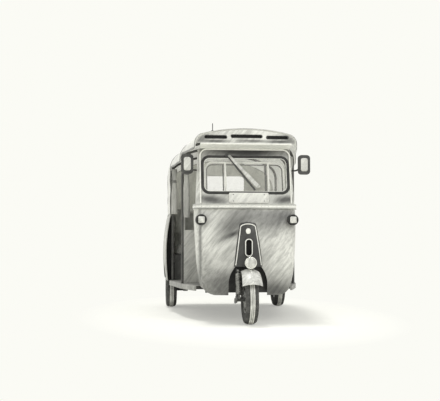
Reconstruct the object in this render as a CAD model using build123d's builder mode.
"""Three-wheeled auto rickshaw with a canvas hood.

Millimetres. +Z is up and the ground is z = 0. The front faces -Y, and +X is the vehicle's
left. The origin is on the ground, under the middle of the length and the width.
"""

import os
from math import atan2, cos, degrees, radians, sin, tan

from build123d import *

os.makedirs("parts", exist_ok=True)

# ---------------------------------------------------------------- driving dimensions
wheelbase = 2000.0
front_axle_y = -1104.0
rear_axle_y = front_axle_y + wheelbase
rear_track = 1146.0
gap = 0.3                       # running or seating gap between pieces that meet

# wheels and tyres, 4.00-8
tyre_radius = 208.0
tyre_width = 107.0
tread_half = 41.0
crown_drop = 9.0
bead_radius = 104.0
bead_half = 38.0
bead_height = 11.0
rim_wall = 3.2
rim_well = 12.0
disc_wall = 5.0
drum_radius = 78.0
drum_depth = 34.0
hub_radius = 32.0
hub_half = 42.0
stub_radius = 12.0
stub_reach = 56.0
cap_radius = 24.0

# steering
steer_rake = 27.0               # degrees that the column leans back
column_radius = 22.0
column_top = 830.0              # along the column, from the front axle
fork_radius = 15.0
fork_side = 92.0                # the one-sided leg stands on the vehicle's right
headstock_low = 335.0
headstock_length = 150.0
headstock_wall = 9.0
link_pivot = (85.0, 25.0)       # behind the axle, above the axle, in the column's frame
link_half = 18.0
spring_radius = 24.0
spring_wire = 9.0
eye_radius = 13.0
eye_half = 8.0
bracket_wall = 4.0
bar_half = 275.0
bar_sweep = 125.0
bar_radius = 12.0
grip_radius = 17.0
grip_length = 120.0

# front mudguard and headlamp
guard_radius = 254.0
guard_wall = 4.0
guard_fall = 32.0
guard_half_front = 88.0
guard_half_top = 72.0
guard_half_rear = 64.0
guard_front_angle = 58.0        # ahead of the top of the wheel
guard_rear_angle = 33.0         # behind the top of the wheel
crest_height = 6.0
crest_half = 7.0
lamp_radius = 49.0
lamp_z = 514.0
lamp_front_y = -1184.0
lamp_depth = 88.0

# front cowl
cowl_wall = 4.0
cowl_bottom = 235.0
cowl_top = 972.0
cowl_back_y = -690.0
cowl_shoulder_in = 82.0
cowl_slope_drop = 0.134         # fall of the front face per millimetre of shoulder
arch_half = 166.0
arch_top = 515.0
cover_bottom = 478.0
cover_top = 856.0
cover_wall = 4.0
slot_half = 22.0
slot_low = 575.0
slot_high = 705.0
slot_rim = 12.0
indicator_radius = 47.0
indicator_x = 396.0
indicator_z = 878.0

# belt, windscreen frame and glass
belt_height = 44.0
belt_proud = 10.0
belt_top = cowl_top + belt_height
screen_rake = 12.0
screen_front_y = -893.0
screen_half_low = 432.0
screen_half_high = 412.0
screen_corner = 55.0
screen_top = 1506.0
screen_wall = 22.0
pillar_back_y = -790.0
glass_half = 371.0
glass_low = 1118.0
glass_high = 1428.0
glass_corner = 58.0
glass_thick = 5.0

# floor and ladder frame
floor_z = 300.0
floor_wall = 4.0
rail_x = 240.0
rail_width = 60.0
rail_height = 50.0
rail_front_y = -850.0
jack_pad_y = -20.0
jack_pad_wide = 70.0
jack_pad_long = 110.0
jack_pad_thick = 6.0
floor_half_front = 366.0
sill_half_front = 418.0
sill_half_mid = 520.0
sill_half = 596.0
sill_wide = 18.0
sill_drop = 46.0
housing_half = 192.0
housing_wall = 4.0
housing_top = 545.0
housing_back_y = -862.0

# rear body
body_front_y = 330.0
body_rear_y = 1290.0
rail_back_y = body_rear_y - 65.0
body_wall = 8.0
body_bottom = 300.0
body_top = 955.0
body_split_x = 505.0
portal_half = 455.0
portal_top = 600.0
portal_thick = 40.0
wheel_arch_radius = 252.0
hatch_half = 330.0
hatch_low = 400.0
hatch_high = 760.0
hatch_gap = 6.0
hinge_radius = 5.0
pin_radius = 2.5
hinge_x = 220.0
hinge_bar = 90.0
knuckle_length = 18.0
louvre_rows = 5
louvre_low = 470.0
louvre_pitch = 36.0
louvre_long = 300.0
louvre_high = 12.0

# hood
hood_wall = 10.0
hood_front_y = -890.0
hood_back_y = body_rear_y - 15.0
hood_bottom = body_top + gap
door_front_y = -330.0
door_back_y = 350.0
hoop_radius = 12.5
hoop_foot_z = 700.0
hoop_clear = 1.5

# seats
seat_front_y = 440.0
seat_half = 560.0
bench_top_z = 560.0
bench_wall = 6.0
partition_half = 520.0
cushion_thick = 95.0

# ---------------------------------------------------------------- shared forms


def side_start(half_width, shoulder, drop):
    """Distance below the crown where the side begins, tangent to the corner arc."""
    slope = 2 * atan2(drop, shoulder)
    return drop + (half_width - shoulder) * tan((slope + radians(90)) / 2)


def arch_line(half_width, shoulder, crown, drop, base):
    """Open line up one side, round the crown and down the other side."""
    side_top = crown - side_start(half_width, shoulder, drop)
    with BuildLine() as outline:
        Line((-half_width, base), (-half_width, side_top))
        top = ThreePointArc((-shoulder, crown - drop), (0, crown), (shoulder, crown - drop))
        TangentArc((-shoulder, crown - drop), (-half_width, side_top), tangent=(top % 0) * -1)
        TangentArc((shoulder, crown - drop), (half_width, side_top), tangent=top % 1)
        Line((half_width, side_top), (half_width, base))
    return outline.line


def arch_face(half_width, shoulder, crown, drop, base):
    """Closed section with a flat base, straight sides and a crowned top."""
    with BuildSketch() as section:
        with BuildLine():
            add(arch_line(half_width, shoulder, crown, drop, base))
            Line((half_width, base), (-half_width, base))
        make_face()
    return section.sketch


def facing_front(y):
    """Plane across the vehicle whose local y is up."""
    return Plane(origin=(0, y, 0), x_dir=(1, 0, 0), z_dir=(0, -1, 0))


def facing_down(z):
    """Level plane whose local y runs to the front of the vehicle."""
    return Plane(origin=(0, 0, z), x_dir=(1, 0, 0), z_dir=(0, 0, -1))


def facing_side(x):
    """Plane along the vehicle whose local x is +Y and local y is up."""
    return Plane(origin=(x, 0, 0), x_dir=(0, 1, 0), z_dir=(1, 0, 0))


def screen_plane(off=0.0):
    """Plane of the raked windscreen, its local y up the slope from the belt."""
    rake = radians(screen_rake)
    base = Plane(origin=(0, screen_front_y, belt_top), x_dir=(1, 0, 0), z_dir=(0, -cos(rake), sin(rake)))
    return base.offset(off)


def on_screen(z):
    """Distance up the raked windscreen of a height above the ground."""
    return (z - belt_top) / cos(radians(screen_rake))


def column_plane(x=0.0):
    """The column's frame: local z up the column, local y square to it and to the rear."""
    rake = radians(steer_rake)
    return Plane(origin=(x, front_axle_y, tyre_radius), x_dir=(1, 0, 0), z_dir=(0, sin(rake), cos(rake)))


def swept_tube(plane, points, radius, bend):
    """A round bar along straight runs with rounded turns; points are local to the plane."""
    with BuildPart() as bar:
        with BuildLine() as route:
            world = [plane.from_local_coords(Vector(*point)) for point in points]
            if len(world) > 2:
                FilletPolyline(*world, radius=bend)
            else:
                Line(*world)
        with BuildSketch(Plane(origin=route.line @ 0, z_dir=route.line % 0)):
            Circle(radius)
        sweep()
    return bar.part


def save(piece, label):
    """Name a finished piece and write it as one STEP file."""
    piece.part.label = label
    export_step(piece.part, f"parts/{label}.step")


# ---------------------------------------------------------------- wheels


def make_tyre(x, y):
    hub = Plane(origin=(x, y, tyre_radius), x_dir=(1, 0, 0), z_dir=(0, 0, 1))
    shoulder_r = tyre_radius - crown_drop
    wall_r = bead_radius + bead_height
    with BuildPart() as tyre:
        with BuildSketch(hub):
            with BuildLine():
                ThreePointArc((-tread_half, shoulder_r), (0, tyre_radius), (tread_half, shoulder_r))
                for side in (-1, 1):
                    ThreePointArc(
                        (side * tread_half, shoulder_r),
                        (side * tyre_width / 2, (shoulder_r + wall_r) / 2),
                        (side * bead_half, wall_r),
                    )
                    Line((side * bead_half, wall_r), (side * bead_half, bead_radius))
                Line((-bead_half, bead_radius), (bead_half, bead_radius))
            make_face()
        revolve(axis=Axis(hub.origin, (1, 0, 0)))
    return tyre


def make_rim(x, y, outward):
    """Pressed wheel with its hub and drum; the axle comes in from the other side."""
    hub = Plane(origin=(x, y, tyre_radius), x_dir=(outward, 0, 0), z_dir=(0, 0, outward))
    seat = bead_radius - gap
    edge = bead_half + gap
    flange = edge + rim_wall
    well = seat - rim_well
    with BuildPart() as rim:
        with BuildSketch(hub):
            with BuildLine():
                Polyline(
                    (-flange, bead_radius + bead_height),
                    (-edge, bead_radius + bead_height),
                    (-edge, seat),
                    (-edge * 0.7, seat),
                    (-edge * 0.5, well),
                    (edge * 0.5, well),
                    (edge * 0.7, seat),
                    (edge, seat),
                    (edge, bead_radius + bead_height),
                    (flange, bead_radius + bead_height),
                    (flange, seat - rim_wall),
                    (edge * 0.7, seat - rim_wall),
                    (edge * 0.5, well - rim_wall),
                    (-edge * 0.5, well - rim_wall),
                    (-edge * 0.7, seat - rim_wall),
                    (-flange, seat - rim_wall),
                    close=True,
                )
            make_face()
            # dished disc from the well to the hub
            with BuildLine():
                Polyline(
                    (2.0, well - rim_wall / 2),
                    (2.0 + disc_wall, well - rim_wall / 2),
                    (18.0 + disc_wall, hub_radius + 18.0),
                    (18.0 + disc_wall, 0.0),
                    (18.0, 0.0),
                    (18.0, hub_radius + 18.0),
                    close=True,
                )
            make_face()
            with BuildLine():
                Polyline((-hub_half, 0), (-hub_half, hub_radius), (18.0, hub_radius), (18.0, 0), close=True)
            make_face()
            with BuildLine():
                Polyline((18.0, 0), (18.0, cap_radius), (hub_half, cap_radius - 4.0), (hub_half, 0), close=True)
            make_face()
            # brake drum on the axle side
            with BuildLine():
                Polyline(
                    (-hub_half, hub_radius - 2.0),
                    (-hub_half, drum_radius),
                    (-hub_half + drum_depth, drum_radius),
                    (-hub_half + drum_depth, hub_radius - 2.0),
                    close=True,
                )
            make_face()
        revolve(axis=Axis(hub.origin, (1, 0, 0)))
        bore = Plane(origin=hub.from_local_coords(Vector(-hub_half, 0, 0)), z_dir=(outward, 0, 0))
        with BuildSketch(bore):
            Circle(stub_radius + gap)
        extrude(amount=stub_reach, mode=Mode.SUBTRACT)
    return rim


# the front stub axle comes in from the vehicle's right, the rear shafts from the middle
wheels = (
    # name, x, y, outward
    ("front", 0.0, front_axle_y, 1),
    ("rear_left", rear_track / 2, rear_axle_y, 1),
    ("rear_right", -rear_track / 2, rear_axle_y, -1),
)
for wheel_name, wheel_x, wheel_y, wheel_out in wheels:
    save(make_tyre(wheel_x, wheel_y), f"{wheel_name}_tyre")
    save(make_rim(wheel_x, wheel_y, wheel_out), f"{wheel_name}_rim")

# ---------------------------------------------------------------- steering


def make_spring(plane, length, coils):
    """Damper with a coil spring round it, along the plane's z from eye to eye."""
    low = 2.0 * eye_radius
    pitch = (length - 2 * low) / coils
    waist = spring_radius - spring_wire / 2
    with BuildPart() as damper:
        with BuildSketch(Plane(origin=plane.origin, x_dir=plane.x_dir, z_dir=plane.y_dir * -1)):
            with BuildLine():
                Line((0, low), (waist, low))
                for coil in range(coils):
                    start = low + coil * pitch
                    ThreePointArc((waist, start), (spring_radius, start + pitch / 2), (waist, start + pitch))
                Line((waist, length - low), (0, length - low))
                Line((0, length - low), (0, low))
            make_face()
        revolve(axis=Axis(plane.origin, plane.z_dir))
        for eye in (0, length):
            spot = plane.from_local_coords(Vector(0, 0, eye))
            with BuildSketch(Plane(origin=spot, z_dir=plane.x_dir)):
                Circle(eye_radius)
            extrude(amount=eye_half, both=True)
        with BuildSketch(plane.offset(eye_radius / 2)):
            Circle(eye_half - 1.5)
        extrude(amount=length - eye_radius)
    return damper


fork_shoulder = guard_radius + crest_height + gap + fork_radius
column = column_plane()
swing = Plane(origin=column.from_local_coords(Vector(-fork_side, 0, 0)), x_dir=column.y_dir, z_dir=(1, 0, 0))
# forked bracket that holds the upper eye of the damper
with BuildPart() as damper_bracket:
    for side in (-1, 1):
        with BuildSketch(swing.offset(side * (eye_half + gap))):
            with BuildLine():
                Polyline((34, 262), (-54, 262), (-54, 232), (-20, 226), (34, 190), close=True)
            make_face()
        extrude(amount=side * bracket_wall)

with BuildPart() as steering_column:
    with BuildSketch(column.offset(fork_shoulder)):
        Circle(column_radius)
    extrude(amount=column_top - fork_shoulder)
    add(
        swept_tube(
            column,
            (
                (0, 0, fork_shoulder + 30.0),
                (0, 0, fork_shoulder),
                (-fork_side, 28.0, fork_shoulder - 12.0),
                (-fork_side, 36.0, 150.0),
                (-fork_side, *link_pivot),
            ),
            fork_radius,
            14.0,
        )
    )
    add(damper_bracket.part)
save(steering_column, "steering_column")

link_wall = 12.0
shock_foot = (-36.0, 2.0)
shock_top = (-38.0, 244.0)
link_face = swing.offset(-(fork_radius + gap))
stub_run = fork_side + fork_radius + gap - hub_half
with BuildPart() as front_link:
    with BuildSketch(link_face):
        with BuildLine():
            Polyline((-52, -20), (-10, -30), (94, 4), (102, 30), (80, 44), (20, 22), (-30, 22), close=True)
        make_face()
        Circle(28.0)
    extrude(amount=-link_wall)
    with BuildSketch(link_face):
        with Locations(shock_foot):
            Circle(eye_half)
    extrude(amount=fork_radius - eye_half)
    with BuildSketch(link_face):
        Circle(stub_radius + 6.0)
    extrude(amount=stub_run - 2.0)
    with BuildSketch(link_face):
        Circle(stub_radius)
    extrude(amount=stub_run + stub_reach - 4.0)
save(front_link, "front_link")

# damper from the link's toe to the bracket under the column, between link and bracket
shock_run = Vector(0, shock_top[0] - shock_foot[0], shock_top[1] - shock_foot[1])
shock_origin = column.from_local_coords(Vector(-fork_side, shock_foot[0], shock_foot[1]))
shock_dir = column.from_local_coords(Vector(-fork_side, shock_top[0], shock_top[1])) - shock_origin
front_damper = make_spring(Plane(origin=shock_origin, x_dir=(1, 0, 0), z_dir=shock_dir), shock_dir.length, 8)
save(front_damper, "front_damper")

with BuildPart() as handlebar:
    with BuildSketch(column.offset(column_top + gap)):
        Circle(column_radius + 12.0)
    extrude(amount=44.0)
    for side in (-1, 1):
        add(
            swept_tube(
                column,
                (
                    (0, 0, column_top + 22.0),
                    (side * 70.0, -8.0, column_top + 30.0),
                    (side * 165.0, bar_sweep * 0.45, column_top + 34.0),
                    (side * bar_half, bar_sweep, column_top + 30.0),
                ),
                bar_radius,
                30.0,
            )
        )
        tip = column.from_local_coords(Vector(side * bar_half, bar_sweep, column_top + 30.0))
        root = column.from_local_coords(Vector(side * 165.0, bar_sweep * 0.45, column_top + 34.0))
        with BuildSketch(Plane(origin=tip, z_dir=root - tip)):
            Circle(grip_radius)
        extrude(amount=grip_length)
save(handlebar, "handlebar")

# helmet-shaped mudguard: a crowned channel turned round the axle, narrower over the top
axle = Plane(origin=(0, front_axle_y, tyre_radius), x_dir=(1, 0, 0), z_dir=(0, 1, 0))
front_axle = Axis(axle.origin, (1, 0, 0))
with BuildPart() as front_mudguard:
    rear_turn = radians(guard_rear_angle)
    section = Plane(
        origin=axle.origin,
        x_dir=(1, 0, 0),
        z_dir=(0, cos(rear_turn), -sin(rear_turn)),
    )
    with BuildSketch(section):
        with BuildLine():
            outer = guard_radius
            inner = guard_radius - guard_wall
            ThreePointArc((-guard_half_front, -outer + guard_fall), (0, -outer), (guard_half_front, -outer + guard_fall))
            Line((guard_half_front, -outer + guard_fall), (guard_half_front, -inner + guard_fall))
            ThreePointArc((-guard_half_front, -inner + guard_fall), (0, -inner), (guard_half_front, -inner + guard_fall))
            Line((-guard_half_front, -inner + guard_fall), (-guard_half_front, -outer + guard_fall))
        make_face()
        with Locations((0, -guard_radius - (crest_height - guard_wall / 2) / 2)):
            Rectangle(2 * crest_half, crest_height + guard_wall / 2)
    revolve(axis=front_axle, revolution_arc=guard_rear_angle + guard_front_angle)
    # plan outline that narrows the channel over the top of the wheel
    lip_y = front_axle_y - guard_radius - crest_height
    tail_y = front_axle_y + guard_radius
    with BuildSketch(Plane.XY.offset(tyre_radius)):
        with BuildLine():
            Polyline(
                (-guard_half_front, lip_y),
                (guard_half_front, lip_y),
                (guard_half_top, front_axle_y),
                (guard_half_rear, tail_y),
                (-guard_half_rear, tail_y),
                (-guard_half_top, front_axle_y),
                close=True,
            )
        make_face()
    extrude(amount=2 * guard_radius, mode=Mode.INTERSECT)
save(front_mudguard, "front_mudguard")

with BuildPart() as headlamp:
    # foot down to the crest of the mudguard
    with BuildSketch(Plane.XY.offset(lamp_z - 20.0)):
        with Locations((0, lamp_front_y + lamp_depth * 0.55)):
            RectangleRounded(40, 46, 10)
    extrude(amount=-60.0)
    with BuildSketch(facing_side(-60.0)):
        with Locations((front_axle_y, tyre_radius)):
            Circle(guard_radius + crest_height + gap)
    extrude(amount=120.0, mode=Mode.SUBTRACT)
    with BuildSketch(Plane(origin=(0, lamp_front_y, lamp_z), x_dir=(1, 0, 0), z_dir=(0, 0, 1))):
        with BuildLine():
            ThreePointArc((0, -8), (lamp_radius * 0.5, -5.5), (lamp_radius - 6, 2))
            Polyline((lamp_radius - 6, 2), (lamp_radius, 4), (lamp_radius, 18))
            ThreePointArc((lamp_radius, 18), (lamp_radius - 15, lamp_depth - 28), (0, lamp_depth))
            Line((0, lamp_depth), (0, -8))
        make_face()
    revolve(axis=Axis((0, lamp_front_y, lamp_z), (0, 1, 0)))
save(headlamp, "headlamp")

# ---------------------------------------------------------------- front cowl

cowl_sections = (
    # height, half width, distance of the centre ahead of the origin
    (cowl_bottom, 352.0, 992.0),
    (330.0, 392.0, 1008.0),
    (500.0, 420.0, 1020.0),
    (760.0, 436.0, 1004.0),
    (cowl_top, 442.0, 950.0),
)


def cowl_solid(inset):
    """Filled form of the cowl, moved in from the outer face by the inset."""
    with BuildPart() as form:
        for height, half, ahead in cowl_sections:
            shoulder = half - cowl_shoulder_in
            with BuildSketch(facing_down(height)):
                add(arch_face(half - inset, shoulder - inset * 0.5, ahead - inset, cowl_slope_drop * shoulder, -cowl_back_y))
        loft()
    return form.part


cowl_outer = cowl_solid(0.0)
cowl_inner = cowl_solid(cowl_wall)
deep = 1500.0

with BuildPart() as front_cowl:
    add(cowl_outer)
    add(cowl_inner, mode=Mode.SUBTRACT)
    # rounded lower corners, seen from the front
    with BuildSketch(facing_front(0)):
        with BuildLine():
            Line((-250, cowl_bottom), (250, cowl_bottom))
            ThreePointArc((250, cowl_bottom), (352, 266), (402, 350))
            Line((402, 350), (470, cowl_top))
            Line((470, cowl_top), (-470, cowl_top))
            Line((-470, cowl_top), (-402, 350))
            ThreePointArc((-402, 350), (-352, 266), (-250, cowl_bottom))
        make_face()
    extrude(amount=deep, mode=Mode.INTERSECT)
    # wheel arch
    with BuildSketch(facing_front(0)) as arch_sketch:
        with BuildLine():
            Line((-arch_half, 200), (arch_half, 200))
            Line((arch_half, 200), (arch_half, 330))
            ThreePointArc((arch_half, 330), (arch_half - 24, 430), (70, arch_top))
            Line((70, arch_top), (-70, arch_top))
            ThreePointArc((-70, arch_top), (24 - arch_half, 430), (-arch_half, 330))
            Line((-arch_half, 330), (-arch_half, 200))
        make_face()
    extrude(amount=deep, mode=Mode.SUBTRACT)
save(front_cowl, "front_cowl")

# tapered cover over the column, hollow, with its slot and raised rim
cover_sections = (
    # height, half width, front face ahead of the origin
    (cover_bottom, 122.0, 1046.0),
    (680.0, 100.0, 1034.0),
    (cover_top, 74.0, 1002.0),
)


def cover_solid(inset):
    """Filled form of the column cover."""
    with BuildPart() as form:
        for height, half, ahead in cover_sections:
            with BuildSketch(facing_down(height)):
                add(arch_face(half - inset, half - 24.0, ahead - inset, 6.0, 940.0))
        loft()
    return form.part


with BuildPart() as column_cover:
    add(cover_solid(0.0))
    with BuildSketch(facing_front(0)):
        with BuildLine():
            Line((-130, cover_bottom), (130, cover_bottom))
            Line((130, cover_bottom), (80, cover_top - 46))
            ThreePointArc((80, cover_top - 46), (71, cover_top - 15), (46, cover_top - 4))
            ThreePointArc((46, cover_top - 4), (0, cover_top), (-46, cover_top - 4))
            ThreePointArc((-46, cover_top - 4), (-71, cover_top - 15), (-80, cover_top - 46))
            Line((-80, cover_top - 46), (-130, cover_bottom))
        make_face()
    extrude(amount=deep, mode=Mode.INTERSECT)
    add(cover_solid(cover_wall), mode=Mode.SUBTRACT)
    add(cowl_outer, mode=Mode.SUBTRACT)
    # raised rim round the slot, then the slot itself
    with BuildSketch(Plane(origin=(0, -1060, 0), x_dir=(1, 0, 0), z_dir=(0, 1, 0))):
        with Locations((0, -(slot_low + slot_high) / 2)):
            RectangleRounded(2 * (slot_half + slot_rim), slot_high - slot_low + 2 * slot_rim, slot_half + slot_rim - 1)
    extrude(until=Until.NEXT)
    with BuildSketch(facing_front(-960)):
        with Locations((0, (slot_low + slot_high) / 2)):
            RectangleRounded(2 * slot_half, slot_high - slot_low, slot_half - 1)
    extrude(amount=200, mode=Mode.SUBTRACT)
save(column_cover, "column_cover")

with BuildPart() as front_indicators:
    for side in (-1, 1):
        with BuildSketch(facing_front(-880)):
            with Locations((side * indicator_x, indicator_z)):
                Circle(indicator_radius)
        extrude(amount=96.0)
        with BuildSketch(facing_front(-976)):
            with Locations((side * indicator_x, indicator_z)):
                RectangleRounded(50, 50, 12)
        extrude(amount=8.0)
    add(cowl_outer, mode=Mode.SUBTRACT)
save(front_indicators, "front_indicators")

# ---------------------------------------------------------------- belt, screen and cabin front

belt_half = cowl_sections[-1][1]
belt_ahead = cowl_sections[-1][2]
belt_shoulder = belt_half - cowl_shoulder_in
belt_drop = cowl_slope_drop * belt_shoulder
belt_deep = 94.0
belt_inner_ahead = belt_ahead + belt_proud - belt_deep
belt_inner_half = belt_half - 38.0
belt_inner_drop = 6.0
with BuildPart() as belt_moulding:
    with BuildSketch(facing_down(belt_top)):
        add(arch_face(belt_half + belt_proud, belt_shoulder + belt_proud, belt_ahead + belt_proud, belt_drop, -cowl_back_y))
        add(arch_face(belt_inner_half, belt_inner_half - 50.0, belt_inner_ahead, belt_inner_drop, 0.0), mode=Mode.SUBTRACT)
    extrude(amount=belt_height)
save(belt_moulding, "belt_moulding")


def screen_solid(inset, base_y):
    """Filled form behind the raked windscreen, up to the header."""
    lean = (screen_top - belt_top) * tan(radians(screen_rake))
    corner = screen_corner - inset
    with BuildPart() as form:
        for height, half, back in ((belt_top, screen_half_low, 0.0), (screen_top, screen_half_high, lean)):
            ahead = -(screen_front_y + back) - inset
            with BuildSketch(facing_down(height)):
                add(arch_face(half - inset, half - inset - corner, ahead, 1.0, -base_y))
        loft(ruled=True)
    return form.part


with BuildPart() as windscreen_frame:
    add(screen_solid(0.0, pillar_back_y + 60.0))
    add(screen_solid(screen_wall, 0.0), mode=Mode.SUBTRACT)
    # header across the top
    with BuildSketch(screen_plane(-screen_wall - 16.0)):
        with Locations((0, on_screen(screen_top) - 24.0)):
            Rectangle(2 * (screen_half_high - screen_wall), 36.0)
    extrude(amount=16.0)
    # window, cut square to the raked face
    with BuildSketch(screen_plane(60.0)):
        with Locations((0, (on_screen(glass_low) + on_screen(glass_high)) / 2)):
            RectangleRounded(2 * glass_half, on_screen(glass_high) - on_screen(glass_low), glass_corner)
    extrude(amount=-160.0, mode=Mode.SUBTRACT)
save(windscreen_frame, "windscreen_frame")

with BuildPart() as windscreen_glass:
    with BuildSketch(screen_plane(-screen_wall / 2 - glass_thick / 2)):
        with Locations((0, (on_screen(glass_low) + on_screen(glass_high)) / 2)):
            RectangleRounded(
                2 * (glass_half - gap),
                on_screen(glass_high) - on_screen(glass_low) - 2 * gap,
                glass_corner - gap,
            )
    extrude(amount=glass_thick)
save(windscreen_glass, "windscreen_glass")

wiper_pivot = (-164.0, 1446.0)
wiper_tip = (80.0, 1136.0)
with BuildPart() as wiper:
    pivot = Vector(wiper_pivot[0], on_screen(wiper_pivot[1]))
    tip = Vector(wiper_tip[0], on_screen(wiper_tip[1]))
    lean = degrees(atan2(tip.Y - pivot.Y, tip.X - pivot.X))
    span = tip - pivot
    with BuildSketch(screen_plane(gap)):
        with Locations((pivot.X, pivot.Y)):
            Circle(14)
    extrude(amount=16.0)
    with BuildSketch(screen_plane(8.0)):
        with Locations(Location((pivot.X + span.X * 0.36, pivot.Y + span.Y * 0.36), lean)):
            Rectangle(span.length * 0.72, 10)
        with Locations(Location((pivot.X + span.X * 0.64, pivot.Y + span.Y * 0.64), lean)):
            Rectangle(span.length * 0.72, 16)
    extrude(amount=7.0)
    with BuildSketch(screen_plane(1.0)):
        with Locations(Location((pivot.X + span.X * 0.66, pivot.Y + span.Y * 0.66), lean)):
            Rectangle(span.length * 0.66, 5)
    extrude(amount=10.0)
save(wiper, "wiper")

dash_half = 330.0
dash_front_y = belt_inner_drop - belt_inner_ahead - 0.4
dash_top = belt_top + 34.0
with BuildPart() as dashboard:
    with BuildSketch(facing_side(-dash_half)):
        with BuildLine():
            Polyline(
                (dash_front_y, dash_top),
                (dash_front_y, cowl_top - 34.0),
                (dash_front_y + 18.0, cowl_top - 26.0),
                (dash_front_y + 28.0, dash_top - 14.0),
                (dash_front_y + 26.0, dash_top),
                close=True,
            )
        make_face()
    extrude(amount=2 * dash_half)
save(dashboard, "dashboard")

guard_low = dash_top + 23.5
guard_high = 1398.0
guard_back = -screen_wall - 26.0
guard_side = 352.0
guard_bars_x = (-172.0, 210.0)
with BuildPart() as guard_frame:
    high = on_screen(guard_high)
    low = on_screen(guard_low)
    plane = screen_plane(guard_back)
    add(swept_tube(plane, ((-guard_side, low, 0), (-guard_side, high, 0), (guard_side, high, 0), (guard_side, low, 0)), 10.0, 70.0))
    for bar_x in guard_bars_x:
        add(swept_tube(plane, ((bar_x, low, 0), (bar_x, high, 0)), 9.0, 1.0))
    with BuildSketch(plane):
        with Locations((0, low)):
            Rectangle(2 * guard_side + 24.0, 24.0)
    extrude(amount=7.0, both=True)
save(guard_frame, "guard_frame")

mirror_x = 512.0
mirror_y = -862.0
mirror_z = 1362.0
mirror_width = 106.0
mirror_height = 171.0
with BuildPart() as mirrors:
    for side in (-1, 1):
        with BuildSketch(facing_front(mirror_y)):
            with Locations((side * mirror_x, mirror_z)):
                RectangleRounded(mirror_width, mirror_height, 30)
        extrude(amount=26.0)
        root_x = screen_half_low - 24.0
        add(
            swept_tube(
                Plane.XY,
                (
                    (side * root_x, pillar_back_y + 34.0, mirror_z - 46.0),
                    (side * (root_x + 56.0), pillar_back_y + 22.0, mirror_z - 42.0),
                    (side * mirror_x, mirror_y - 8.0, mirror_z - 12.0),
                ),
                7.0,
                14.0,
            )
        )
    add(screen_solid(-gap, 0.0), mode=Mode.SUBTRACT)
save(mirrors, "mirrors")

# ---------------------------------------------------------------- floor and frame

with BuildPart() as chassis_frame:
    rail_low = floor_z - rail_height
    for side in (-1, 1):
        with BuildSketch(Plane.XY.offset(rail_low)):
            with Locations((side * rail_x, (rail_front_y + rail_back_y) / 2)):
                Rectangle(rail_width, rail_back_y - rail_front_y)
        extrude(amount=rail_height)
    cross_members = (
        # place along the frame, half width, height
        (rail_front_y + 25.0, 350.0, rail_height),
        (-290.0, sill_half_mid - 15.0, rail_height),
        (body_front_y, sill_half - 11.0, rail_height),
        (560.0, 470.0, rail_height),
        (rail_back_y - 25.0, 480.0, rail_height),
    )
    for cross_y, cross_half, cross_height in cross_members:
        with BuildSketch(Plane.XY.offset(rail_low)):
            with Locations((0, cross_y)):
                Rectangle(2 * cross_half, 50.0)
        extrude(amount=cross_height)
    # portal that carries the upper ends of the rear dampers
    portal_y = rear_axle_y + 40.0
    with BuildSketch(facing_front(portal_y + portal_thick / 2)):
        with Locations((0, portal_top - portal_thick / 2)):
            Rectangle(2 * portal_half, portal_thick)
        for side in (-1, 1):
            with Locations((side * rail_x, (floor_z + portal_top) / 2 - 1.0)):
                Rectangle(portal_thick, portal_top - floor_z + 2.0)
    extrude(amount=portal_thick)
    # jacking pads under the rails
    with BuildSketch(Plane.XY.offset(rail_low - jack_pad_thick)):
        for side in (-1, 1):
            with Locations((side * rail_x, jack_pad_y)):
                RectangleRounded(jack_pad_wide, jack_pad_long, 8)
    extrude(amount=jack_pad_thick + 1.0)
save(chassis_frame, "chassis_frame")

with BuildPart() as floor_pan:
    with BuildSketch(Plane.XY.offset(floor_z + gap)) as floor_outline:
        with BuildLine():
            Polyline(
                (-290, -930),
                (-floor_half_front, -850),
                (-floor_half_front, cowl_back_y + gap),
                (-sill_half_front, cowl_back_y + gap),
                (-sill_half_mid, door_front_y),
                (-sill_half, body_front_y),
                (-sill_half, seat_front_y + 30.0),
                (sill_half, seat_front_y + 30.0),
                (sill_half, body_front_y),
                (sill_half_mid, door_front_y),
                (sill_half_front, cowl_back_y + gap),
                (floor_half_front, cowl_back_y + gap),
                (floor_half_front, -850),
                (290, -930),
                close=True,
            )
        make_face()
        with Locations((0, -950)):
            Rectangle(2 * (housing_half + gap), 2 * (housing_back_y + gap + 950.0), mode=Mode.SUBTRACT)
    extrude(amount=floor_wall)
    # pressed ribs across the floor
    for rib_y in (-620, -540, -80, 20, 120, 220):
        with BuildSketch(Plane.XY.offset(floor_z + gap + floor_wall)):
            with Locations((0, rib_y)):
                Rectangle(760, 24)
        extrude(amount=5.0, taper=20)
save(floor_pan, "floor_pan")

with BuildPart() as side_sills:
    for side in (-1, 1):
        with BuildSketch(Plane.XY.offset(floor_z + floor_wall + gap)):
            with BuildLine():
                Polyline(
                    (side * (sill_half_front + 1.0), cowl_back_y + 1.0),
                    (side * (sill_half_mid + gap), door_front_y),
                    (side * (sill_half + gap), body_front_y - gap),
                    (side * (sill_half + sill_wide), body_front_y - gap),
                    (side * (sill_half_mid + sill_wide), door_front_y),
                    (side * (sill_half_front + 20.0), cowl_back_y + 1.0),
                    close=True,
                )
            make_face()
        extrude(amount=-sill_drop)
save(side_sills, "side_sills")

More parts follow.
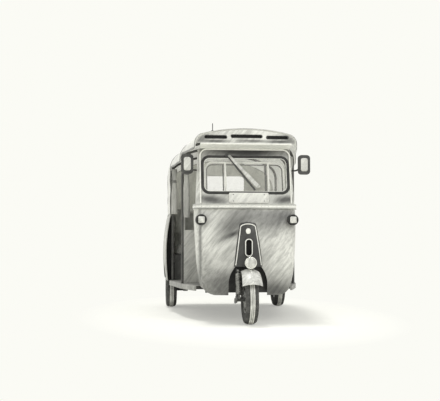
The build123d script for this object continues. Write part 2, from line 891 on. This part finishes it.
with BuildPart() as wheel_housing:
    with BuildSketch(facing_side(-housing_half)):
        with BuildLine():
            Polyline(
                (-1060, cowl_bottom + 20.0),
                (-1060, housing_top),
                (-930, housing_top),
                (housing_back_y, housing_top - 60.0),
                (housing_back_y, cowl_bottom + 20.0),
                close=True,
            )
        make_face()
    extrude(amount=2 * housing_half)
    with BuildSketch(facing_side(-housing_half + housing_wall)):
        with BuildLine():
            Polyline(
                (-1080, cowl_bottom),
                (-1080, housing_top - housing_wall),
                (-930, housing_top - housing_wall),
                (housing_back_y - housing_wall, housing_top - 62.0),
                (housing_back_y - housing_wall, cowl_bottom),
                close=True,
            )
        make_face()
    extrude(amount=2 * (housing_half - housing_wall), mode=Mode.SUBTRACT)
    add(cowl_inner, mode=Mode.INTERSECT)
    # headstock: the bearing tube of the column, welded through the top
    with BuildSketch(column.offset(headstock_low)):
        Circle(column_radius + gap + headstock_wall)
    extrude(amount=headstock_length)
    with BuildSketch(column.offset(headstock_low - 10.0)):
        Circle(column_radius + gap)
    extrude(amount=headstock_length + 20.0, mode=Mode.SUBTRACT)
save(wheel_housing, "wheel_housing")

# ---------------------------------------------------------------- rear body

body_sections = (
    # height, half width, rear face behind the origin
    (body_bottom, 636.0, body_rear_y - 24.0),
    (480.0, 650.0, body_rear_y - 2.0),
    (720.0, 646.0, body_rear_y),
    (body_top, 610.0, body_rear_y - 22.0),
)


def body_solid(inset, front):
    """Filled form of the rear body, open to the front."""
    with BuildPart() as form:
        for height, half, behind in body_sections:
            with BuildSketch(Plane.XY.offset(height)):
                add(arch_face(half - inset, half - 120.0 - inset * 0.5, behind - inset, 28.0, front))
        loft()
    return form.part


with BuildPart() as body_shell:
    add(body_solid(0.0, body_front_y))
    add(body_solid(body_wall, body_front_y - 100.0), mode=Mode.SUBTRACT)
    for side in (-1, 1):
        with BuildSketch(facing_side(side * 450.0)):
            with Locations((rear_axle_y, tyre_radius)):
                Circle(wheel_arch_radius)
        extrude(amount=side * 300.0, mode=Mode.SUBTRACT)

for side_name, side in (("left", 1), ("right", -1)):
    with BuildPart() as body_side:
        add(body_shell.part)
        with BuildSketch(Plane.XY.offset(body_bottom - 10.0)):
            with Locations((side * (body_split_x + gap / 2 + 200.0), (body_front_y + body_rear_y) / 2)):
                Rectangle(400.0, body_rear_y - body_front_y + 200.0)
        extrude(amount=700.0, mode=Mode.INTERSECT)
    save(body_side, f"body_side_{side_name}")

hatch_cut_y = body_rear_y - 190.0
hinge_y = body_rear_y + 9.0
hinge_z = hatch_high + 2.0
# fixed halves of the hatch hinges
with BuildPart() as hatch_hinges:
    for side in (-1, 1):
        with BuildSketch(facing_side(side * hinge_x - hinge_bar / 2)):
            with Locations((hinge_y, hinge_z)):
                Circle(hinge_radius)
        extrude(amount=hinge_bar)
        with BuildSketch(facing_side(side * hinge_x - hinge_bar / 2 - knuckle_length)):
            with Locations((hinge_y, hinge_z)):
                Circle(pin_radius)
        extrude(amount=hinge_bar + 2 * knuckle_length)
        # leaf on the panel above the hatch
        with BuildSketch(facing_side(side * hinge_x - hinge_bar / 2)):
            with BuildLine():
                Polyline(
                    (hinge_y - 2.0, hinge_z - 1.0),
                    (hinge_y - 2.0, hinge_z + 30.0),
                    (hinge_y + 1.0, hinge_z + 30.0),
                    (hinge_y + 1.0, hinge_z - 1.0),
                    close=True,
                )
            make_face()
        extrude(amount=hinge_bar)
        with BuildSketch(facing_side(side * hinge_x - hinge_bar / 2)):
            with BuildLine():
                Polyline(
                    (body_rear_y - 40.0, hinge_z + 12.0),
                    (hinge_y, hinge_z + 12.0),
                    (hinge_y, hinge_z + 30.0),
                    (body_rear_y - 40.0, hinge_z + 30.0),
                    close=True,
                )
            make_face()
        extrude(amount=hinge_bar)
    add(body_solid(0.0, body_front_y), mode=Mode.SUBTRACT)

with BuildPart() as rear_panel:
    add(body_shell.part)
    with BuildSketch(Plane.XY.offset(body_bottom - 10.0)):
        with Locations((0, body_rear_y - 90.0)):
            Rectangle(2 * body_split_x - gap, 300.0)
    extrude(amount=700.0, mode=Mode.INTERSECT)
    with BuildSketch(facing_front(hatch_cut_y)):
        with Locations((0, (hatch_low + hatch_high) / 2)):
            RectangleRounded(2 * hatch_half, hatch_high - hatch_low, 30)
    extrude(amount=-500.0, mode=Mode.SUBTRACT)
    add(hatch_hinges.part)
save(rear_panel, "rear_panel")

with BuildPart() as engine_hatch:
    add(body_solid(0.0, body_front_y))
    add(body_solid(body_wall, body_front_y - 100.0), mode=Mode.SUBTRACT)
    with BuildSketch(facing_front(hatch_cut_y)):
        with Locations((0, (hatch_low + hatch_high) / 2)):
            RectangleRounded(2 * (hatch_half - hatch_gap), hatch_high - hatch_low - 2 * hatch_gap, 26)
    extrude(amount=-500.0, mode=Mode.INTERSECT)
    # knuckles beside the fixed hinge barrels, each carried by a lug
    for side in (-1, 1):
        for end in (-1, 1):
            knuckle_x = side * hinge_x + end * (hinge_bar / 2 + gap)
            with BuildSketch(facing_side(knuckle_x)):
                with Locations((hinge_y, hinge_z)):
                    Circle(hinge_radius)
                with BuildLine():
                    Polyline(
                        (hinge_y - hinge_radius * 0.7, hinge_z - hinge_radius * 0.7),
                        (hinge_y + hinge_radius * 0.7, hinge_z - hinge_radius * 0.7),
                        (hinge_y - 8.0, hinge_z - 26.0),
                        (hinge_y - 24.0, hinge_z - 26.0),
                        (hinge_y - 24.0, hinge_z - 12.0),
                        close=True,
                    )
                make_face()
                with Locations((hinge_y, hinge_z)):
                    Circle(pin_radius + gap, mode=Mode.SUBTRACT)
            extrude(amount=end * knuckle_length)
    # cooling louvres
    for row in range(louvre_rows):
        with BuildSketch(facing_front(hatch_cut_y)):
            with Locations((0, louvre_low + row * louvre_pitch)):
                SlotOverall(louvre_long, louvre_high)
        extrude(amount=-500.0, mode=Mode.SUBTRACT)
save(engine_hatch, "engine_hatch")

bumper_rear_y = body_rear_y + 32.0
bumper_z = 345.0
bumper_bracket_x = 300.0
bumper_half = 520.0
with BuildPart() as rear_bumper:
    # two brackets forward to the panel, then the bar itself
    with BuildSketch(facing_front(body_rear_y + 6.0)):
        for side in (-1, 1):
            with Locations((side * bumper_bracket_x, bumper_z)):
                Rectangle(50.0, 36.0)
    extrude(amount=60.0)
    add(body_solid(-gap, body_front_y), mode=Mode.SUBTRACT)
    with BuildSketch(facing_front(body_rear_y + gap + 1.0)):
        with Locations((0, bumper_z)):
            RectangleRounded(2 * bumper_half, 60.0, 22)
    extrude(amount=-(bumper_rear_y - body_rear_y - gap - 1.0))
save(rear_bumper, "rear_bumper")

tail_lamp_x = 440.0
tail_lamp_z = 600.0
with BuildPart() as tail_lamps:
    for side in (-1, 1):
        with BuildSketch(facing_front(body_rear_y - 70.0)):
            with Locations((side * tail_lamp_x, tail_lamp_z)):
                RectangleRounded(86.0, 150.0, 16)
        extrude(amount=-90.0)
    add(body_solid(-gap, body_front_y), mode=Mode.SUBTRACT)
save(tail_lamps, "tail_lamps")

# ---------------------------------------------------------------- engine and rear suspension

engine_y = rear_axle_y + 170.0
engine_low = 262.0
engine_high = 520.0
with BuildPart() as engine_block:
    with BuildSketch(Plane.XY.offset(engine_low)):
        with Locations((0, engine_y)):
            RectangleRounded(390.0, 210.0, 30)
    extrude(amount=engine_high - engine_low)
save(engine_block, "engine_block")

silencer_y = rail_back_y - 5.0
silencer_z = 205.0
silencer_half = 210.0
with BuildPart() as silencer:
    with BuildSketch(facing_side(-silencer_half)):
        with Locations((silencer_y, silencer_z)):
            Circle(42.0)
    extrude(amount=2 * silencer_half)
    fillet(silencer.edges().filter_by(GeomType.CIRCLE), 12.0)
    # tail pipe
    with BuildSketch(facing_side(silencer_half - 10.0)):
        with Locations((silencer_y, silencer_z - 15.0)):
            Circle(16.0)
    extrude(amount=110.0)
    # straps up to the frame
    with BuildSketch(Plane.XY.offset(silencer_z)):
        for side in (-1, 1):
            with Locations((side * 100.0, silencer_y - 15.0)):
                Rectangle(30.0, 6.0)
    extrude(amount=floor_z - rail_height - silencer_z - gap)
save(silencer, "silencer")

arm_x = 425.0
pivot_y = 560.0
pivot_z = 232.0
with BuildPart() as rear_arms:
    for side in (-1, 1):
        with BuildSketch(facing_side(side * arm_x - 22.0)):
            with BuildLine():
                Polyline(
                    (pivot_y - 26.0, pivot_z - 16.0),
                    (rear_axle_y - 60.0, tyre_radius - 40.0),
                    (rear_axle_y + 66.0, tyre_radius - 36.0),
                    (rear_axle_y + 66.0, tyre_radius + 16.0),
                    (rear_axle_y - 4.0, tyre_radius + 16.0),
                    (rear_axle_y - 70.0, tyre_radius + 34.0),
                    (pivot_y - 26.0, pivot_z + 17.0),
                    close=True,
                )
            make_face()
        extrude(amount=44.0)
        wheel_face = rear_track / 2 - hub_half
        with BuildSketch(facing_side(side * 190.0)):
            with Locations((rear_axle_y, tyre_radius)):
                Circle(stub_radius)
        extrude(amount=side * (wheel_face + stub_reach - 4.0 - 190.0))
        with BuildSketch(facing_side(side * (arm_x + 21.0))):
            with Locations((rear_axle_y, tyre_radius)):
                Circle(38.0)
        extrude(amount=side * (wheel_face - 3.0 - arm_x - 21.0))
save(rear_arms, "rear_arms")

with BuildPart() as final_drive:
    with BuildSketch(facing_side(-120.0)):
        with Locations((rear_axle_y, tyre_radius)):
            Circle(62.0)
    extrude(amount=240.0)
    for side in (-1, 1):
        with BuildSketch(facing_side(side * 120.0)):
            with Locations((rear_axle_y, tyre_radius)):
                Circle(34.0)
        extrude(amount=side * 69.5)
    with BuildSketch(Plane.XY.offset(tyre_radius)):
        with Locations((0, rear_axle_y + 54.0)):
            Rectangle(140.0, 60.0)
    extrude(amount=engine_low - tyre_radius - gap)
save(final_drive, "final_drive")

damper_foot = Vector(0, portal_y - 4.0, tyre_radius + 16.0 + gap + eye_radius)
damper_head = Vector(0, portal_y, portal_top - portal_thick - gap - eye_radius)
with BuildPart() as rear_dampers:
    for side in (-1, 1):
        foot = damper_foot + Vector(side * arm_x, 0, 0)
        run = damper_head - damper_foot
        add(make_spring(Plane(origin=foot, x_dir=(1, 0, 0), z_dir=run), run.length, 9).part)
save(rear_dampers, "rear_dampers")

# ---------------------------------------------------------------- seats and partition

with BuildPart() as seat_base:
    with BuildSketch(facing_side(-seat_half)):
        with BuildLine():
            foot = floor_z + floor_wall + 2 * gap
            bench_back_y = portal_y - spring_radius - 4.0
            Polyline(
                (seat_front_y, foot),
                (seat_front_y, bench_top_z),
                (bench_back_y, bench_top_z),
                (bench_back_y, bench_top_z - bench_wall),
                (seat_front_y + bench_wall, bench_top_z - bench_wall),
                (seat_front_y + bench_wall, foot),
                close=True,
            )
        make_face()
    extrude(amount=2 * seat_half)
save(seat_base, "seat_base")

with BuildPart() as passenger_seat:
    with BuildSketch(Plane.XY.offset(bench_top_z + gap)):
        with Locations((0, seat_front_y + 215.0)):
            RectangleRounded(2 * seat_half - 20.0, 430.0, 40)
    extrude(amount=cushion_thick)
    fillet(passenger_seat.faces().sort_by(Axis.Z)[-1].edges(), 25.0)
save(passenger_seat, "passenger_seat")

with BuildPart() as passenger_backrest:
    with BuildSketch(facing_side(-seat_half + 10.0)):
        with BuildLine():
            Polyline(
                (seat_front_y + 432.0, 600.0 + gap),
                (seat_front_y + 432.0 + 62.0, 1050.0),
                (seat_front_y + 432.0 + 142.0, 1050.0),
                (seat_front_y + 432.0 + 84.0, 600.0 + gap),
                close=True,
            )
        make_face()
    extrude(amount=2 * seat_half - 20.0)
    fillet(passenger_backrest.edges().filter_by(Axis.X), 20.0)
save(passenger_backrest, "passenger_backrest")

partition_y = -168.0
partition_top = 800.0
rail_top = 990.0
with BuildPart() as partition:
    with BuildSketch(facing_front(partition_y)):
        with Locations((0, (floor_z + floor_wall + 2 * gap + partition_top) / 2)):
            RectangleRounded(2 * partition_half, partition_top - floor_z - floor_wall - 2 * gap, 6)
    extrude(amount=-14.0)
    add(
        swept_tube(
            facing_front(partition_y - 7.0),
            (
                (20.0 - partition_half, partition_top - 5.0, -14.0),
                (20.0 - partition_half, rail_top, -14.0),
                (partition_half - 20.0, rail_top, -14.0),
                (partition_half - 20.0, partition_top - 5.0, -14.0),
            ),
            12.0,
            60.0,
        )
    )
save(partition, "partition")

with BuildPart() as driver_seat_box:
    with BuildSketch(Plane.XY.offset(floor_z + floor_wall + 2 * gap)):
        with Locations((0, partition_y - gap - 150.0)):
            RectangleRounded(420.0, 300.0, 20)
    extrude(amount=250.0)
save(driver_seat_box, "driver_seat_box")

driver_seat_z = floor_z + floor_wall + 2 * gap + 250.0
with BuildPart() as driver_seat:
    with BuildSketch(Plane.XY.offset(driver_seat_z + gap)):
        with Locations((0, partition_y - gap - 195.0)):
            RectangleRounded(470.0, 380.0, 50)
    extrude(amount=85.0)
    fillet(driver_seat.faces().sort_by(Axis.Z)[-1].edges(), 24.0)
save(driver_seat, "driver_seat")

with BuildPart() as driver_backrest:
    with BuildSketch(facing_front(partition_y - gap)):
        with Locations((0, 830.0)):
            RectangleRounded(430.0, 250.0, 50)
    extrude(amount=62.0)
save(driver_backrest, "driver_backrest")

# ---------------------------------------------------------------- hood

hood_sections = (
    # place along the vehicle, half width, shoulder, crown height, shoulder drop
    (hood_front_y, 442.0, 372.0, 1672.0, 42.0),
    (-300.0, 544.0, 450.0, 1682.0, 80.0),
    (365.0, 606.0, 500.0, 1680.0, 96.0),
    (1040.0, 604.0, 490.0, 1661.0, 102.0),
    (hood_back_y, 585.0, 440.0, 1596.0, 104.0),
)
hoops = hood_sections[1:-1]     # the frame's hoops stand where the inner sections are


def hood_solid(inset):
    """Filled form of the hood down to the top of the body."""
    with BuildPart() as form:
        for place, half, shoulder, crown, drop in hood_sections:
            end = 0.0
            if place == hood_back_y:
                end = inset
            with BuildSketch(facing_front(place - end)):
                add(arch_face(half - inset, shoulder - inset * 0.5, crown - inset, drop, hood_bottom - (1.0 if inset else 0.0)))
        loft()
    return form.part


hood_outer = hood_solid(0.0)
hood_inner = hood_solid(hood_wall)
valance_z = 1494.0
doorway_z = 1425.0
rear_window_z = 1330.0
rear_window_half = 260.0
rear_window_high = 190.0
with BuildPart() as roof_canopy:
    add(hood_outer)
    add(hood_inner, mode=Mode.SUBTRACT)
    # open sides of the cab and of the passengers' doorway
    for side in (-1, 1):
        with BuildSketch(facing_side(0)):
            with BuildLine():
                Polyline(
                    (hood_front_y - 20.0, hood_bottom - 10.0),
                    (hood_front_y - 20.0, valance_z),
                    (door_front_y - 40.0, valance_z),
                    (door_front_y + 30.0, doorway_z),
                    (door_back_y - 60.0, doorway_z),
                    (door_back_y, doorway_z - 80.0),
                    (door_back_y, hood_bottom - 10.0),
                    close=True,
                )
            make_face()
        extrude(amount=side * 700.0, mode=Mode.SUBTRACT)
    # rear window
    with BuildSketch(facing_front(hood_back_y - 125.0)):
        with Locations((0, rear_window_z)):
            RectangleRounded(2 * rear_window_half, rear_window_high, 40)
    extrude(amount=-300.0, mode=Mode.SUBTRACT)
save(roof_canopy, "roof_canopy")

fascia_low = 1546.0
with BuildPart() as roof_fascia:
    add(hood_solid(hood_wall + gap))
    with BuildSketch(facing_front(hood_front_y + 4.0)):
        with Locations((0, 1700.0)):
            Rectangle(1400.0, 2 * (1700.0 - fascia_low))
    extrude(amount=-14.0, mode=Mode.INTERSECT)
    for slot_x, slot_z, slot_width in ((-265.0, 1598.0, 190.0), (5.0, 1606.0, 270.0), (275.0, 1598.0, 190.0)):
        with BuildSketch(facing_front(hood_front_y)):
            with Locations((slot_x, slot_z)):
                SlotOverall(slot_width, 24.0)
        extrude(amount=-40.0, mode=Mode.SUBTRACT)
save(roof_fascia, "roof_fascia")

# peak over the windscreen, from the header to the fascia
with BuildPart() as visor:
    header_y = screen_front_y + (screen_top - belt_top) * tan(radians(screen_rake))
    with BuildSketch(facing_side(-398.0)):
        with BuildLine():
            Polyline(
                (header_y + 30.0, screen_top + gap),
                (header_y + 30.0, screen_top + 14.0),
                (hood_front_y + 20.0, fascia_low - gap),
                (hood_front_y - 8.0, fascia_low - gap),
                (hood_front_y - 12.0, fascia_low - 16.0),
                (header_y - 2.0, screen_top + gap),
                close=True,
            )
        make_face()
    extrude(amount=796.0)
save(visor, "visor")

with BuildPart() as hoop_feet:
    # brackets from the rear hoop out to the body sides
    for side in (-1, 1):
        with BuildSketch(Plane.XY.offset(hoop_foot_z)):
            with Locations((side * 640.0, hoops[-1][0])):
                Rectangle(130.0, 24.0)
        extrude(amount=16.0)
    add(body_solid(body_wall + gap, body_front_y), mode=Mode.INTERSECT)

with BuildPart() as hood_frame:
    for place, half, shoulder, crown, drop in hoops:
        skin = hood_wall + hoop_clear + hoop_radius
        foot = floor_z + floor_wall + 2 * gap if place < rear_axle_y else hoop_foot_z
        route = facing_front(place).location * arch_line(half - skin, shoulder - skin * 0.5, crown - skin, drop, foot)
        with BuildSketch(Plane(origin=route @ 0, z_dir=route % 0)):
            Circle(hoop_radius)
        sweep(path=route, transition=Transition.ROUND)
    add(hoop_feet.part)
save(hood_frame, "hood_frame")

curtain_y = -339.8
curtain_x = 484.0
with BuildPart() as side_curtains:
    for side in (-1, 1):
        for height, wide, deep_y in ((912.0, 36.0, 34.0), (1180.0, 36.0, 34.0), (1320.0, 30.0, 26.0), (1488.0, 35.0, 34.0)):
            with BuildSketch(Plane.XY.offset(height)):
                with Locations((side * curtain_x, curtain_y)):
                    Ellipse(wide, deep_y)
        loft()
save(side_curtains, "side_curtains")

with BuildPart() as antenna:
    with BuildSketch(Plane.XY.offset(1600.0)):
        with Locations((-276.0, -700.0)):
            Circle(15.0)
    extrude(amount=76.0)
    with BuildSketch(Plane.XY.offset(1640.0)):
        with Locations((-276.0, -700.0)):
            Circle(3.5)
    extrude(amount=101.0)
    add(hood_outer, mode=Mode.SUBTRACT)
save(antenna, "antenna")
